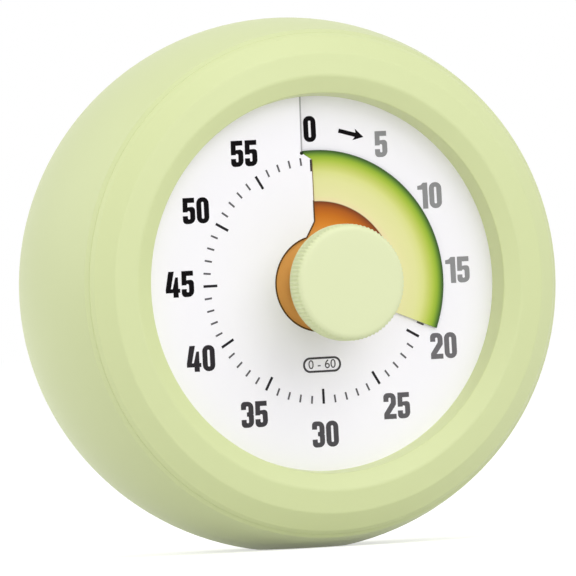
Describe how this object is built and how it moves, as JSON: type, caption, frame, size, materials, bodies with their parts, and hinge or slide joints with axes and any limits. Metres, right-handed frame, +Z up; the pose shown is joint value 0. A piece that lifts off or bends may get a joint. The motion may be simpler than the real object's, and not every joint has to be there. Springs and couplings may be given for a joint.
{
  "type": "visual countdown timer",
  "caption": "Round desk countdown timer: barrel case, recessed slit dial, coloured disc that shrinks as time runs, knurled centre knob, battery movement inside.",
  "frame": {"origin": "on the rest face, under the middle of the timer's box", "axes": "+Z up, the dial faces -Y, +X to the right seen from the front"},
  "size_m": [0.0864, 0.048, 0.0858],
  "materials": {
    "case_plastic": "satin moulded",
    "bezel_plastic": "satin moulded",
    "knob_plastic": "satin moulded",
    "dial_sheet": "printed sheet",
    "disc_sheet": "printed sheet",
    "hub_plastic": "moulded",
    "chassis_plastic": "moulded",
    "movement_plastic": "moulded",
    "wheel_plastic": "moulded",
    "steel": "turned",
    "screw_steel": "zinc plated",
    "spring_steel": "nickel plated",
    "brass": "turned",
    "magnet": "sintered",
    "lamination": "stamped",
    "bobbin_plastic": "moulded",
    "copper": "enamelled wire",
    "contact_metal": "stamped",
    "cell_wrap": "printed film",
    "board": "solder mask",
    "chip": "moulded",
    "crystal_can": "drawn",
    "buzzer_plastic": "moulded",
    "switch_metal": "stamped",
    "lead_black": "extruded insulation",
    "lead_red": "extruded insulation",
    "slider_plastic": "moulded"
  },
  "bodies": {
    "case": {"rear_housing": "case_plastic", "front_bezel": "bezel_plastic", "housing_screws": "screw_steel", "chassis": "chassis_plastic", "chassis_screws": "screw_steel", "dial": "dial_sheet", "arbor_bush": "brass", "movement_front_plate": "movement_plastic", "movement_case": "movement_plastic", "movement_screws": "screw_steel", "stator": "lamination", "coil_core": "lamination", "coil_bobbin": "bobbin_plastic", "coil_winding": "copper", "alarm_contact": "contact_metal", "alarm_contact_fixed": "contact_metal", "battery": "cell_wrap", "battery_spring": "spring_steel", "battery_plate": "spring_steel", "battery_lead_black": "lead_black", "battery_lead_red": "lead_red", "circuit_board": "board", "circuit_screws": "screw_steel", "buzzer": "buzzer_plastic", "circuit_chip": "chip", "crystal": "crystal_can", "switch_body": "switch_metal"},
    "knob": {"knob": "knob_plastic", "arbor": "steel", "arbor_wheel": "wheel_plastic", "clutch_spring": "spring_steel", "alarm_cam": "wheel_plastic"},
    "disc": {"progress_disc": "disc_sheet", "disc_hub": "hub_plastic"},
    "third_wheel": {"third_wheel": "wheel_plastic"},
    "fourth_wheel": {"fourth_wheel": "wheel_plastic"},
    "rotor": {"rotor_pinion": "wheel_plastic", "rotor_magnet": "magnet"},
    "battery_door": {"battery_door": "case_plastic"},
    "switch_slider": {"switch_slider": "slider_plastic"}
  },
  "joints": [
    {"name": "knob_turn", "type": "hinge", "parent": "case", "child": "knob", "pos_m": [0, 0, 0.0426], "axis": [0, 1, 0], "range_deg": [-114, 246]},
    {"name": "disc_climb", "type": "slide", "parent": "knob", "child": "disc", "axis": [0, -1, 0], "range_m": [-0.00033, 0.00069]},
    {"name": "third_spin", "type": "hinge", "parent": "case", "child": "third_wheel", "pos_m": [-0.01143, 0, 0.0492], "axis": [0, 1, 0], "continuous": true},
    {"name": "fourth_spin", "type": "hinge", "parent": "case", "child": "fourth_wheel", "pos_m": [-0.00352, 0, 0.05684], "axis": [0, 1, 0], "continuous": true},
    {"name": "rotor_spin", "type": "hinge", "parent": "case", "child": "rotor", "pos_m": [0.00337, 0, 0.05563], "axis": [0, 1, 0], "continuous": true},
    {"name": "door_lift", "type": "slide", "parent": "case", "child": "battery_door", "axis": [0, 1, 0], "range_m": [0, 0.015]},
    {"name": "switch_slide", "type": "slide", "parent": "case", "child": "switch_slider", "axis": [1, 0, 0], "range_m": [-0.002, 0.002]}
  ],
  "couplings": [
    {"joint": "disc_climb", "follows": "knob_turn", "m_per_rad": 0.00015915},
    {"joint": "third_spin", "follows": "knob_turn", "ratio": -10},
    {"joint": "fourth_spin", "follows": "knob_turn", "ratio": 100},
    {"joint": "rotor_spin", "follows": "knob_turn", "ratio": -600}
  ]
}
